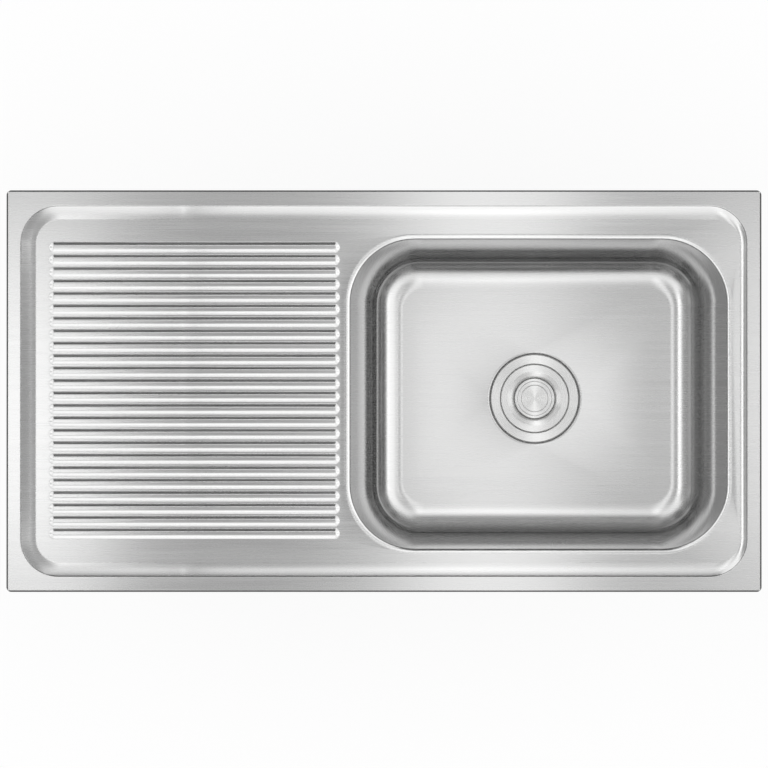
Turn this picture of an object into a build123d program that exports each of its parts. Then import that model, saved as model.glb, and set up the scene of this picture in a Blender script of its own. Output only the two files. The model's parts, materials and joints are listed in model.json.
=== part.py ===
from build123d import *
import os
from math import atan2, cos, radians, sin, tan

# Inset kitchen sink: a pressed top sheet with a ribbed drainboard on the left, a deep
# drawn bowl welded under its mouth on the right, a basket strainer waste in the bowl's
# floor, and swing-out clips that hold the rim down on a worktop.
#
# Frame: the origin is the middle of the rim in plan, on the worktop's upper face.
# +X runs from the drainboard to the bowl, +Y to the back, +Z up. Millimetres.

os.makedirs("parts", exist_ok=True)

# ---------------------------------------------------------------- driving dimensions
overall_length = 940.0
overall_depth = 500.0
sheet = 1.0  # thickness of the top sheet and of the bowl

# flat border that lies over the worktop
rim_height = 3.5  # top of the border above the worktop
rim_corner = 6.0
rim_edge_radius = 2.0
border_side = 17.5  # border's width at the left and right
border_end = 19.0  # border's width at the front and back

# wall from the border down to the deck: a small steep step, then a long slope
recess_depth = 7.0
recess_corner = 47.0  # corner radius at the border
step_drop = 1.8
step_run = 1.2
slope_left = 19.0
slope_right = 8.5
slope_front = 17.0
slope_back = 17.0
deck_corner = 30.0

# drainboard ribs
rib_count = 24
rib_pitch = 15.5
rib_base = 12.8  # width where a rib meets the deck
rib_top = 4.8  # width of its flat crest
rib_height = 3.0
rib_radius = 1.2  # rounding along the crest
rib_margin_left = 15.8  # from the foot of the left slope to the ribs' ends
rib_margin_right = 7.0  # from the ribs' ends to the bead round the mouth
rib_field_y = 1.0

# bowl
bowl_length = 468.0
bowl_width = 385.0
bowl_corner = 80.0
bowl_depth = 200.0  # from the border's top face to the edge of the floor
bowl_draft_side = 10.7  # degrees, left and right walls
bowl_draft_end = 7.6  # degrees, front and back walls
bowl_floor_radius = 38.0
bowl_margin = 16.3  # from the foot of the right slope to the bowl's mouth
bowl_y = -3.5
drain_shift_x = -2.0  # from the bowl's middle to the drain, towards the drainboard
drain_shift_y = -3.5  # from the bowl's middle to the drain, towards the front
mouth_radius = 4.5  # rounding from the bead into the bowl
mouth_bead = 7.0  # width of the raised bead round the mouth
mouth_bead_height = 1.0
mouth_bead_run = 1.0
collar = 12.0  # top sheet's collar below the deck, down to the weld
fall_radius = 128.0  # the floor falls to the drain inside this radius
fall = 3.0

# drain seat in the bowl's floor
seat_margin = 4.0  # from the flange's edge to the seat's edge at the floor
seat_run = 2.0
seat_depth = 4.0
hole_clearance = 0.7  # between the drum and the hole

# strainer body: flange, drum through the hole, ledge for the basket, threaded cup
body_wall = 1.0
opening_radius = 43.8
flange_width = 11.2  # from the opening to the flange's edge
flange_dip = 0.8  # the flange falls this much towards the opening
flange_gasket_thickness = 1.5
flange_gasket_inset = 1.5  # gasket's edge inside the flange's edge
ledge_depth = 2.6
ledge_width = 3.2
cup_depth = 44.0  # from the ledge to the inside of the cup's floor
outlet_hole = 19.0  # radius of the hole that the stopper closes

# outlet tail, with a 1 1/2 inch pipe thread outside
tail_radius = 23.9
tail_bore = 21.5
tail_length = 32.0
tail_chamfer = 0.8

# clamping set under the bowl
bowl_gasket_width = 11.1
bowl_gasket_thickness = 3.0
friction_thickness = 0.8
nut_wall = 12.3  # from the nut's thread to its brim
nut_height = 17.0
nut_grips = 8
nut_grip_depth = 3.5
nut_grip_width = 9.0
nut_brim = 2.5  # plain brim over the grips
fit_clearance = 0.1

# basket
basket_sheet = 0.8
basket_gap = 0.2  # over the ledge
basket_side_gap = 1.2  # round the rim
basket_rim_height = 2.2
basket_land = 8.2  # width of the rim's flat top
cone_depth = 7.0
strainer_radius = 24.0  # top of the perforated cup
strainer_foot = 22.0
strainer_depth = 30.0  # from the rim's top to the underside of the cup's floor
strainer_hole = 1.5
wall_holes = 20
wall_hole_rows = 3
wall_hole_pitch = 6.5
floor_hole_rings = ((10.0, 10), (15.5, 16))

# post, stopper and knob
running_clearance = 0.06
post_radius = 4.0
post_foot_radius = 3.0
post_foot_reach = 20.0  # below the stopper
post_point = 1.0  # chamfer of the foot's end
post_step = 10.0  # from the basket's floor up to the thicker shaft
stopper_gap = 0.3  # over the cup's floor
stopper_lap = 7.0  # stopper's edge over the edge of the outlet hole
stopper_thickness = 5.0
plate_radius = 15.0
plate_thickness = 1.5
post_nut_flats = 9.0
post_nut_height = 4.0
knob_gap = 4.5  # from the skirt's edge to the basket's cone
knob_skirt_below = 3.0  # skirt's edge under the basket's rim
knob_rise = 3.0  # knob's crest over the basket's rim
knob_sheet = 1.5
knob_edge_radius = 1.4
knob_land = 3.5  # width of the raised rim
knob_dip = 0.8
knob_well = 17.2
knob_well_depth = 1.4
boss_radius = 7.0
boss_length = 10.0
boss_floor = 3.0  # solid end of the boss, under the knob

# cross and spring catch in the tail
cross_drop = 12.0
cross_hub = 7.0
cross_arm = 3.0
cross_arms = 3
cross_thickness = 2.5
catch_wall = 0.9
catch_clearance = 0.3
catch_height = 7.0
catch_slot = 1.0

# rim seal
seal_width = 9.0
seal_inset = 4.0

# clips: welded stud, nut and swinging claw
stud_radius = 3.0
stud_length = 57.0
stud_plate = (22.0, 12.0, 1.5)  # along the rim, across it, thickness
stud_from_end = 41.5  # stud's axis from the rim's front and back edges
stud_from_left = 44.0
stud_from_right = 33.0
clip_columns = {"left": -340.0, "middle": -20.0, "right": 300.0}
clip_nut_flats = 10.0
clip_nut_height = 6.0
clip_nut_lift = 2.0  # nut's underside over the stud's end
claw_gap = 0.2  # between nut and claw
claw_clearance = 0.4  # round the stud
claw_sheet = 2.0
claw_width = 14.0
claw_heel = 7.0  # behind the stud
claw_flat = 30.0  # in front of the stud, up to the rise
claw_reach = 46.5
claw_rise = 10.0
claw_tip = 7.0

# stiffening channels under the drainboard
stiffener_spread = 94.0  # each side of the ribs' middle
stiffener_length = 352.0
stiffener_crown = 26.0
stiffener_flange = 12.0
stiffener_height = 12.0
stiffener_sheet = 1.2

# sound deadening pads under the bowl's floor
pad_thickness = 2.5
pad_length = 70.0
pad_width = 190.0
pad_corner = 6.0
pad_from_drain = 112.0

# ---------------------------------------------------------------- places and levels
recess_left = -overall_length / 2 + border_side + step_run + slope_left
recess_right = overall_length / 2 - border_side - step_run - slope_right
bowl_x = recess_right - bowl_margin - bowl_length / 2
ribs_left = recess_left + rib_margin_left
ribs_right = bowl_x - bowl_length / 2 - mouth_bead - rib_margin_right
rib_length = ribs_right - ribs_left
rib_field_x = (ribs_left + ribs_right) / 2
drain_x = bowl_x + drain_shift_x
drain_y = bowl_y + drain_shift_y
flange_radius = opening_radius + flange_width
seat_radius = flange_radius + seat_margin
drum_radius = opening_radius + body_wall
cup_radius = opening_radius - ledge_width
cup_outside = cup_radius + body_wall
basket_rim = opening_radius - basket_side_gap
cone_radius = basket_rim - basket_land
cone_slope = (cone_radius - strainer_radius) / cone_depth
knob_radius = cone_radius - cone_slope * knob_skirt_below - knob_gap
deck_z = rim_height - recess_depth
weld_z = deck_z - collar
floor_z = rim_height - bowl_depth
seat_z = floor_z - fall - seat_depth  # top face of the drain seat
flange_z = seat_z + flange_gasket_thickness + body_wall  # flange's top at its outer edge
throat_z = flange_z - flange_dip  # flange's top at the opening
ledge_z = throat_z - ledge_depth
cup_floor_z = ledge_z - cup_depth
tail_z = cup_floor_z - body_wall
basket_z = ledge_z + basket_gap + basket_rim_height  # top of the basket's rim
basket_floor_z = basket_z - strainer_depth

drain_axis = Axis((drain_x, drain_y, 0), (0, 0, 1))
drain_section = Plane(origin=(drain_x, drain_y, 0), x_dir=(1, 0, 0), z_dir=(0, -1, 0))


def write(part, name):
    """Label a finished piece and write its file."""
    part.label = name
    export_step(part, f"parts/{name}.step")


def bend_shift(before, after, skin):
    """Sideways and downward shift of a bend's corner on the sheet's other face."""
    share = skin / (1 + cos(before - after))
    return share * (sin(before) + sin(after)), share * (cos(before) + cos(after))


def turned(points):
    """A body turned on the drain's axis from its half section."""
    with BuildPart() as body:
        with BuildSketch(drain_section):
            with BuildLine():
                Polyline(*points, close=True)
            make_face()
        revolve(axis=drain_axis)
    return body.part


# ---------------------------------------------------------------- top sheet
step_angle = atan2(step_drop, step_run)
mean_slope = (slope_left + slope_right + slope_front + slope_back) / 4
slope_angle = atan2(recess_depth - step_drop, mean_slope)
rib_angle = atan2(rib_height, (rib_base - rib_top) / 2)
bead_angle = atan2(mouth_bead_height, mouth_bead_run)
recess_bends = (
    # level, share of the step, share of the slope, corner radius, angle before, angle after
    (rim_height, 0, 0, recess_corner, 0, step_angle),
    (rim_height - step_drop, 1, 0, recess_corner - step_run, step_angle, slope_angle),
    (deck_z, 1, 1, deck_corner, slope_angle, 0),
)


def recess_outline(bend, skin):
    """Plan outline of one bend of the recess wall."""
    level, step_share, slope_share, corner, before, after = bend
    aside, down = bend_shift(before, after, skin)
    step = step_share * step_run - aside
    left = border_side + step + slope_share * slope_left
    right = border_side + step + slope_share * slope_right
    front = border_end + step + slope_share * slope_front
    back = border_end + step + slope_share * slope_back
    with BuildSketch(Plane.XY.offset(level - down)) as outline:
        with Locations(((left - right) / 2, (front - back) / 2)):
            RectangleRounded(overall_length - left - right, overall_depth - front - back, corner + aside)
    return outline.sketch


def bowl_outline(z, grow, draft_side=0, draft_end=0):
    """Plan outline of the bowl, grown outwards from its mouth or drawn in by its walls' draft."""
    length = bowl_length + 2 * (grow - draft_side)
    width = bowl_width + 2 * (grow - draft_end)
    corner = bowl_corner + grow - (draft_side + draft_end) / 2
    with BuildSketch(Plane.XY.offset(z)) as outline:
        with Locations((bowl_x, bowl_y)):
            RectangleRounded(length, width, corner)
    return outline.sketch


def rib_form(skin):
    """One rib with rounded ends, standing on the level of the deck."""
    aside, down = bend_shift(0, rib_angle, skin)
    base = rib_base / 2 - aside
    crest = rib_top / 2 - aside
    with BuildPart() as end:
        with BuildSketch(Plane.XZ) as section:
            with BuildLine():
                Polyline(
                    (0, -down - sheet),
                    (base, -down - sheet),
                    (base, -down),
                    (crest, rib_height - down),
                    (0, rib_height - down),
                    close=True,
                )
            make_face()
            bend = section.vertices().filter_by(lambda v: v.X > 0).sort_by(Axis.Y)[-1]
            fillet(bend, rib_radius)
        revolve(axis=Axis.Z)
        split(bisect_by=Plane.YZ)
    half_run = (rib_length - rib_base) / 2
    with BuildPart() as rib:
        add(end.part.moved(Location((half_run, 0, 0))))
        extrude(rib.faces().sort_by(Axis.X)[0], amount=half_run)
        mirror(about=Plane.YZ)
    return rib.part


def under_top(skin):
    """Everything from the weld's level up to one face of the top sheet."""
    with BuildPart() as form:
        with BuildSketch(Plane.XY.offset(weld_z)):
            RectangleRounded(overall_length - 2 * skin, overall_depth - 2 * skin, rim_corner - skin)
        extrude(amount=rim_height - skin - weld_z)
        fillet(form.faces().sort_by(Axis.Z)[-1].outer_wire().edges(), rim_edge_radius - skin)
        for upper, lower in zip(recess_bends, recess_bends[1:]):
            wall = [recess_outline(upper, skin), recess_outline(lower, skin)]
            loft(sections=wall, ruled=True, mode=Mode.SUBTRACT)
        aside, down = bend_shift(0, bead_angle, skin)
        foot = bowl_outline(deck_z - down, mouth_bead - aside)
        crown = bowl_outline(deck_z + mouth_bead_height - down, mouth_bead - mouth_bead_run - aside)
        loft(sections=[foot, crown], ruled=True)
        rib = rib_form(skin)
        with Locations((rib_field_x, rib_field_y, deck_z)):
            with GridLocations(rib_length, rib_pitch, 1, rib_count):
                add(rib)
        extrude(bowl_outline(weld_z, skin), amount=rim_height - weld_z, mode=Mode.SUBTRACT)
        crown_z = deck_z + mouth_bead_height - skin
        crowns = form.faces().filter_by(lambda f: abs(f.center().Z - crown_z) < sheet / 10)
        crown_face = crowns.filter_by(lambda f: len(f.inner_wires()) == 1)[0]
        fillet(crown_face.inner_wires()[0].edges(), mouth_radius - skin)
    return form.part


with BuildPart() as drainer_top:
    add(under_top(0))
    add(under_top(sheet), mode=Mode.SUBTRACT)
    # the rim's edge turns down only as far as the worktop
    with BuildSketch(Plane.XY.offset(weld_z)):
        Rectangle(overall_length, overall_depth)
        RectangleRounded(
            overall_length - border_side,
            overall_depth - border_side,
            recess_corner - border_side / 2,
            mode=Mode.SUBTRACT,
        )
    extrude(amount=-weld_z, mode=Mode.SUBTRACT)
write(drainer_top.part, "drainer_top")

# ---------------------------------------------------------------- bowl
wall_height = weld_z - floor_z
side_run = wall_height * tan(radians(bowl_draft_side))
end_run = wall_height * tan(radians(bowl_draft_end))


def bowl_form(skin):
    """Everything inside one face of the bowl."""
    with BuildPart() as form:
        foot = bowl_outline(floor_z - skin, skin, side_run, end_run)
        loft(sections=[foot, bowl_outline(weld_z, skin)], ruled=True)
        fillet(form.edges().group_by(Axis.Z)[0], bowl_floor_radius + skin)
        hollow = turned(
            (
                (0, floor_z - skin),
                (fall_radius, floor_z - skin),
                (seat_radius + skin, floor_z - fall - skin),
                (seat_radius + skin - seat_run, seat_z - skin),
                (0, seat_z - skin),
            )
        )
        add(hollow)
    return form.part


bowl_outside = bowl_form(sheet)
with BuildPart() as bowl:
    add(bowl_outside)
    add(bowl_form(0), mode=Mode.SUBTRACT)
    with BuildSketch(Plane.XY.offset(seat_z)):
        with Locations((drain_x, drain_y)):
            Circle(drum_radius + hole_clearance)
    extrude(amount=-2 * sheet, mode=Mode.SUBTRACT)
write(bowl.part, "bowl")

# ---------------------------------------------------------------- sound pads
for side, direction in {"left": -1, "right": 1}.items():
    with BuildPart() as pad:
        with BuildSketch(Plane.XY.offset(seat_z - sheet - pad_thickness)):
            with Locations((drain_x + direction * pad_from_drain, drain_y)):
                RectangleRounded(pad_length, pad_width, pad_corner)
        extrude(amount=floor_z - seat_z + pad_thickness)
        add(bowl_outside.moved(Location((0, 0, -pad_thickness))), mode=Mode.INTERSECT)
        add(bowl_outside, mode=Mode.SUBTRACT)
    write(pad.part, f"sound_pad_{side}")

# ---------------------------------------------------------------- rim seal
with BuildPart() as rim_seal:
    with BuildSketch(Plane.XY):
        RectangleRounded(overall_length - 2 * seal_inset, overall_depth - 2 * seal_inset, rim_corner)
        inner = seal_inset + seal_width
        RectangleRounded(
            overall_length - 2 * inner, overall_depth - 2 * inner, rim_corner, mode=Mode.SUBTRACT
        )
    extrude(amount=rim_height - sheet)
write(rim_seal.part, "rim_seal")

# ---------------------------------------------------------------- stiffening channels
for side, direction in {"left": -1, "right": 1}.items():
    half_crown = stiffener_crown / 2
    half_brim = half_crown + stiffener_flange
    stiffener_place = (rib_field_x + direction * stiffener_spread, rib_field_y, deck_z - sheet)
    with BuildPart() as stiffener:
        with BuildSketch(Plane(stiffener_place, x_dir=(1, 0, 0), z_dir=(0, -1, 0))):
            Rectangle(2 * half_brim, stiffener_sheet, align=(Align.CENTER, Align.MAX))
            Rectangle(2 * half_crown, stiffener_height, align=(Align.CENTER, Align.MAX))
            Rectangle(
                2 * half_crown - 2 * stiffener_sheet,
                stiffener_height - stiffener_sheet,
                align=(Align.CENTER, Align.MAX),
                mode=Mode.SUBTRACT,
            )
        extrude(amount=stiffener_length / 2, both=True)
    write(stiffener.part, f"stiffener_{side}")

# ---------------------------------------------------------------- strainer body and tail
edge_z = flange_z - body_wall  # underside of the flange at its outer edge
with BuildPart() as strainer_body:
    with BuildSketch(drain_section) as section:
        with BuildLine():
            Polyline(
                (flange_radius, edge_z),
                (flange_radius, flange_z),
                (opening_radius, throat_z),
                (opening_radius, ledge_z),
                (cup_radius, ledge_z),
                (cup_radius, cup_floor_z),
                (outlet_hole, cup_floor_z),
                (outlet_hole, tail_z),
                (cup_outside, tail_z),
                (cup_outside, ledge_z - body_wall),
                (drum_radius, ledge_z - body_wall),
                (drum_radius, edge_z - flange_dip),
                close=True,
            )
        make_face()
        edges = section.vertices().filter_by(lambda v: v.Y > throat_z - body_wall / 2)
        fillet(edges, body_wall / 2)
    revolve(axis=drain_axis)
write(strainer_body.part, "strainer_body")

with BuildPart() as outlet_tail:
    with BuildSketch(Plane.XY.offset(tail_z)):
        with Locations((drain_x, drain_y)):
            Circle(tail_radius)
            Circle(tail_bore, mode=Mode.SUBTRACT)
    extrude(amount=-tail_length)
    rims = outlet_tail.edges().filter_by(GeomType.CIRCLE).group_by(Axis.Z)[0]
    chamfer(rims.sort_by(SortBy.RADIUS)[-1], tail_chamfer)
write(outlet_tail.part, "outlet_tail")

# cross in the tail's mouth, with the spring catch in its hub
cross_z = tail_z - cross_drop
catch_radius = post_foot_radius + catch_clearance + catch_wall
with BuildPart() as outlet_cross:
    with BuildSketch(Plane.XY.offset(cross_z)):
        with Locations((drain_x, drain_y)):
            with PolarLocations(0, cross_arms):
                Rectangle(2 * tail_bore, cross_arm, align=(Align.MIN, Align.CENTER))
            Circle(tail_bore, mode=Mode.INTERSECT)
            Circle(cross_hub)
            Circle(catch_radius, mode=Mode.SUBTRACT)
    extrude(amount=-cross_thickness)
write(outlet_cross.part, "outlet_cross")

with BuildPart() as post_catch:
    with BuildSketch(Plane.XY.offset(cross_z)):
        with Locations((drain_x, drain_y)):
            Circle(catch_radius)
            Circle(catch_radius - catch_wall, mode=Mode.SUBTRACT)
    extrude(amount=-catch_height)
    with BuildSketch(Plane.XY.offset(cross_z - cross_thickness)):
        with Locations((drain_x, drain_y)):
            Rectangle(2 * catch_radius, catch_slot)
            Rectangle(catch_slot, 2 * catch_radius)
    extrude(amount=-catch_height, mode=Mode.SUBTRACT)
write(post_catch.part, "post_catch")

# ---------------------------------------------------------------- clamping set
gasket_bore = drum_radius + fit_clearance
gasket_radius = flange_radius - flange_gasket_inset
flange_fall = flange_dip / (flange_radius - drum_radius)
flange_gasket = turned(
    (
        (gasket_bore, seat_z),
        (gasket_radius, seat_z),
        (gasket_radius, edge_z - flange_fall * (flange_radius - gasket_radius)),
        (gasket_bore, edge_z - flange_fall * (flange_radius - gasket_bore)),
    )
)
write(flange_gasket, "flange_gasket")


def washer(outer, inner, top_z, thickness):
    """A flat ring round the drain's axis."""
    half_section = ((inner, top_z), (outer, top_z), (outer, top_z - thickness), (inner, top_z - thickness))
    return turned(half_section)


under_seat_z = seat_z - sheet
bowl_gasket_radius = gasket_bore + bowl_gasket_width
write(washer(bowl_gasket_radius, gasket_bore, under_seat_z, bowl_gasket_thickness), "bowl_gasket")
nut_bore = cup_outside + fit_clearance
nut_radius = nut_bore + nut_wall
friction_z = under_seat_z - bowl_gasket_thickness
write(washer(nut_radius, gasket_bore, friction_z, friction_thickness), "friction_ring")

nut_z = friction_z - friction_thickness
with BuildPart() as backnut:
    with BuildSketch(Plane.XY.offset(nut_z)):
        with Locations((drain_x, drain_y)):
            Circle(nut_radius)
            Circle(nut_bore, mode=Mode.SUBTRACT)
    extrude(amount=-nut_height)
    with BuildSketch(Plane.XY.offset(nut_z - nut_brim)):
        with Locations((drain_x, drain_y)):
            with PolarLocations(nut_radius, nut_grips):
                Rectangle(2 * nut_grip_depth, nut_grip_width)
    extrude(amount=-nut_height, mode=Mode.SUBTRACT)
write(backnut.part, "backnut")

# ---------------------------------------------------------------- basket
cone_z = basket_z - cone_depth
foot_bore = post_foot_radius + running_clearance
first_row_z = cone_z - basket_sheet - wall_hole_pitch / 2
with BuildPart() as basket_cup:
    add(
        turned(
            (
                (basket_rim, ledge_z + basket_gap),
                (basket_rim, basket_z),
                (cone_radius, basket_z),
                (strainer_radius, cone_z),
                (strainer_foot, basket_floor_z + basket_sheet),
                (foot_bore, basket_floor_z + basket_sheet),
                (foot_bore, basket_floor_z),
                (strainer_foot + basket_sheet, basket_floor_z),
                (strainer_radius + basket_sheet, cone_z - basket_sheet / 2),
                (cone_radius + basket_sheet / 2, basket_z - basket_sheet),
                (basket_rim - basket_sheet, basket_z - basket_sheet),
                (basket_rim - basket_sheet, ledge_z + basket_gap),
            )
        )
    )
    with BuildSketch(Plane.XY.offset(basket_floor_z)):
        with Locations((drain_x, drain_y)):
            for ring_radius, ring_holes in floor_hole_rings:
                with PolarLocations(ring_radius, ring_holes):
                    Circle(strainer_hole)
    extrude(amount=basket_sheet, mode=Mode.SUBTRACT)
    for row in range(wall_hole_rows):
        for spoke in range(wall_holes // 2):
            turn = radians(360 / wall_holes * (spoke + row / 2))
            hole_centre = (drain_x, drain_y, first_row_z - row * wall_hole_pitch)
            with BuildSketch(Plane(origin=hole_centre, z_dir=(cos(turn), sin(turn), 0))):
                Circle(strainer_hole)
            extrude(amount=strainer_radius + 2 * basket_sheet, both=True, mode=Mode.SUBTRACT)
write(basket_cup.part, "basket_cup")

# ---------------------------------------------------------------- post, stopper and knob
stopper_z = cup_floor_z + stopper_gap  # underside of the stopper
stopper_top_z = stopper_z + stopper_thickness
plate_top_z = stopper_top_z + plate_thickness
knob_crest_z = basket_z + knob_rise
land_z = knob_crest_z - knob_dip
well_z = land_z - knob_well_depth
boss_top_z = well_z - knob_sheet
boss_z = boss_top_z - boss_length
post_top_z = boss_top_z - boss_floor
write(
    turned(
        (
            (0, stopper_z - post_foot_reach),
            (post_foot_radius - post_point, stopper_z - post_foot_reach),
            (post_foot_radius, stopper_z - post_foot_reach + post_point),
            (post_foot_radius, basket_floor_z + post_step),
            (post_radius, basket_floor_z + post_step),
            (post_radius, post_top_z),
            (0, post_top_z),
        )
    ),
    "basket_post",
)

stopper_section = (
    (post_foot_radius, stopper_z),
    (outlet_hole - stopper_gap, stopper_z),
    (outlet_hole + stopper_lap, stopper_z + stopper_thickness / 3),
    (outlet_hole + stopper_lap, stopper_top_z),
    (post_foot_radius, stopper_top_z),
)
write(turned(stopper_section), "stopper_seal")
write(washer(plate_radius, post_foot_radius, plate_top_z, plate_thickness), "stopper_plate")

with BuildPart() as post_nut:
    with BuildSketch(Plane.XY.offset(stopper_z)):
        with Locations((drain_x, drain_y)):
            RegularPolygon(post_nut_flats / 2, 6, major_radius=False)
            Circle(post_foot_radius, mode=Mode.SUBTRACT)
    extrude(amount=-post_nut_height)
write(post_nut.part, "post_nut")

knob_inside = knob_radius - knob_land
with BuildPart() as knob_cap:
    with BuildSketch(drain_section) as section:
        with BuildLine():
            Polyline(
                (knob_radius, basket_z - knob_skirt_below),
                (knob_radius, knob_crest_z),
                (knob_inside, knob_crest_z),
                (knob_inside - knob_dip, land_z),
                (knob_well, land_z),
                (knob_well - knob_well_depth / 2, well_z),
                (0, well_z),
                (0, boss_top_z),
                (knob_well, boss_top_z),
                (knob_radius - knob_sheet, land_z - knob_sheet),
                (knob_radius - knob_sheet, basket_z - knob_skirt_below),
                close=True,
            )
        make_face()
        crest = section.vertices().filter_by(lambda v: v.Y > knob_crest_z - knob_dip / 2)
        fillet(crest.sort_by(Axis.X)[-1], knob_edge_radius)
    revolve(axis=drain_axis)
write(knob_cap.part, "knob_cap")

boss_section = (
    (post_radius, boss_z),
    (boss_radius, boss_z),
    (boss_radius, boss_top_z),
    (0, boss_top_z),
    (0, post_top_z),
    (post_radius, post_top_z),
)
write(turned(boss_section), "knob_boss")

# ---------------------------------------------------------------- clips
# Each clip's stud, and the turn that points its claw along the rim; a quarter turn
# more points it across the rim, under the worktop.
clip_places = {}
for column, x in clip_columns.items():
    clip_places[f"back_{column}"] = (x, overall_depth / 2 - stud_from_end, 0)
    clip_places[f"front_{column}"] = (x, stud_from_end - overall_depth / 2, 180)
clip_places["left"] = (stud_from_left - overall_length / 2, 0, 90)
clip_places["right"] = (overall_length / 2 - stud_from_right, 0, -90)

stud_top_z = deck_z - sheet
clip_nut_z = stud_top_z - stud_length + clip_nut_lift
claw_z = clip_nut_z + clip_nut_height + claw_gap
rise_end = claw_reach - claw_tip
bend_back = claw_sheet * tan(atan2(claw_rise, rise_end - claw_flat) / 2)

with BuildPart() as stud_pattern:
    with BuildSketch(Plane.XY.offset(stud_top_z)):
        Rectangle(stud_plate[0], stud_plate[1])
    extrude(amount=-stud_plate[2])
    with BuildSketch(Plane.XY.offset(stud_top_z)):
        Circle(stud_radius)
    extrude(amount=-stud_length)

with BuildPart() as nut_pattern:
    with BuildSketch(Plane.XY.offset(clip_nut_z)):
        RegularPolygon(clip_nut_flats / 2, 6, major_radius=False)
        Circle(stud_radius + running_clearance, mode=Mode.SUBTRACT)
    extrude(amount=clip_nut_height)

with BuildPart() as claw_pattern:
    with BuildSketch(Plane((0, 0, claw_z), x_dir=(1, 0, 0), z_dir=(0, -1, 0))):
        with BuildLine():
            Polyline(
                (-claw_heel, 0),
                (claw_flat, 0),
                (rise_end, claw_rise),
                (claw_reach, claw_rise),
                (claw_reach, claw_rise + claw_sheet),
                (rise_end - bend_back, claw_rise + claw_sheet),
                (claw_flat - bend_back, claw_sheet),
                (-claw_heel, claw_sheet),
                close=True,
            )
        make_face()
    extrude(amount=claw_width / 2, both=True)
    with BuildSketch(Plane.XY.offset(claw_z)):
        Circle(stud_radius + claw_clearance)
    extrude(amount=claw_sheet, mode=Mode.SUBTRACT)

studs = []
for place, (x, y, turn) in clip_places.items():
    there = Location((x, y, 0), (0, 0, turn))
    studs.append(stud_pattern.part.moved(there))
    write(nut_pattern.part.moved(there), f"clip_nut_{place}")
    write(claw_pattern.part.moved(there), f"clip_claw_{place}")

with BuildPart() as clip_studs:
    for stud in studs:
        add(stud)
write(clip_studs.part, "clip_studs")
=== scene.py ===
import json
from math import cos, pi, radians, sin, sqrt, tan

import bmesh
import bpy
from mathutils import Matrix, Vector


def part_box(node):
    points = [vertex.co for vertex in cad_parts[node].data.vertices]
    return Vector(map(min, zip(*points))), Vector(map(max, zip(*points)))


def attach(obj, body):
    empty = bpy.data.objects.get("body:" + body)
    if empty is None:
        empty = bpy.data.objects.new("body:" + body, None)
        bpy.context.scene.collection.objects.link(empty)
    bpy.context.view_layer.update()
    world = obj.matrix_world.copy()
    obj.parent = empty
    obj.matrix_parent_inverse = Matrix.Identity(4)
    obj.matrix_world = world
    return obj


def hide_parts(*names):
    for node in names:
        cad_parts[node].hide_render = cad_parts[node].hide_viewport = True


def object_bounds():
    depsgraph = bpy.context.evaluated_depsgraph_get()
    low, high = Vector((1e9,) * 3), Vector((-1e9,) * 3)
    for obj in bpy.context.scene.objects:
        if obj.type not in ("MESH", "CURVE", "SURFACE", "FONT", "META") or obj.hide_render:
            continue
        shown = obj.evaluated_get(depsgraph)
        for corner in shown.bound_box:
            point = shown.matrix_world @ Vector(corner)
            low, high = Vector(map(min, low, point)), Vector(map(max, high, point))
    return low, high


# Inset kitchen sink: pressed top with a ribbed drainboard, drawn bowl, basket strainer waste.
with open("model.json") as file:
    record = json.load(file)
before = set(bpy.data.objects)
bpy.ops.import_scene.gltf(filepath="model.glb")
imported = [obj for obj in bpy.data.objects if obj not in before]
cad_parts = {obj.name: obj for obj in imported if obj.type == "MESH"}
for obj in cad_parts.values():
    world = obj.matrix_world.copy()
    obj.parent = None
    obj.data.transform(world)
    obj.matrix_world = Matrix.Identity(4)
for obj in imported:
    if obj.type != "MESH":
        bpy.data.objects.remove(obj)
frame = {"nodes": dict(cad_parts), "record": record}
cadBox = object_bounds()
record = frame["record"]
nodes = frame["nodes"]
slotOf = {part["node"]: part["material_slot"] for part in record["subparts"]}
bodyOf = {node: body for body, members in record["behaviour"]["bodies"].items() for node in members}
mm = 0.001
merge = 1e-7  # points nearer than this are one

sheet = 1.0 * mm  # thickness of the top and of the bowl
rimLow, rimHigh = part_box("drainer_top")
bowlLow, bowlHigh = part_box("bowl")
mouthLow = Vector((bowlLow.x + sheet, bowlLow.y + sheet))
mouthHigh = Vector((bowlHigh.x - sheet, bowlHigh.y - sheet))
drain = (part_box("strainer_body")[0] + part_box("strainer_body")[1]) / 2
drainCentre = Vector((drain.x, drain.y, 0))
rimZ = rimHigh.z
weldZ = rimLow.z
seatZ = bowlLow.z + sheet
print("frame loaded")


# nodes and materials
def addNode(tree, kind, inputs=None, **settings):
    node = tree.nodes.new(kind)
    for name, value in settings.items():
        setattr(node, name, value)
    for socket, value in (inputs or {}).items():
        if isinstance(value, bpy.types.NodeSocket):
            tree.links.new(value, node.inputs[socket])
        else:
            node.inputs[socket].default_value = value
    return node


def mathNode(tree, operation, first, second=0.0):
    return addNode(tree, "ShaderNodeMath", {0: first, 1: second}, operation=operation).outputs[0]


def vectorNode(tree, operation, first, second=(0, 0, 0), output="Vector"):
    node = addNode(tree, "ShaderNodeVectorMath", {0: first, 1: second}, operation=operation)
    return node.outputs[output]


def mixVector(tree, factor, first, second):
    node = addNode(tree, "ShaderNodeMix", data_type="VECTOR")
    for socket, value in zip((0, 4, 5), (factor, first, second)):
        if isinstance(value, bpy.types.NodeSocket):
            tree.links.new(value, node.inputs[socket])
        else:
            node.inputs[socket].default_value = value
    return node.outputs[1]


def mixColour(tree, factor, first, second):
    node = addNode(tree, "ShaderNodeMix", data_type="RGBA")
    for socket, value in zip((0, 6, 7), (factor, first, second)):
        if isinstance(value, bpy.types.NodeSocket):
            tree.links.new(value, node.inputs[socket])
        else:
            node.inputs[socket].default_value = value
    return node.outputs[2]


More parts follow.
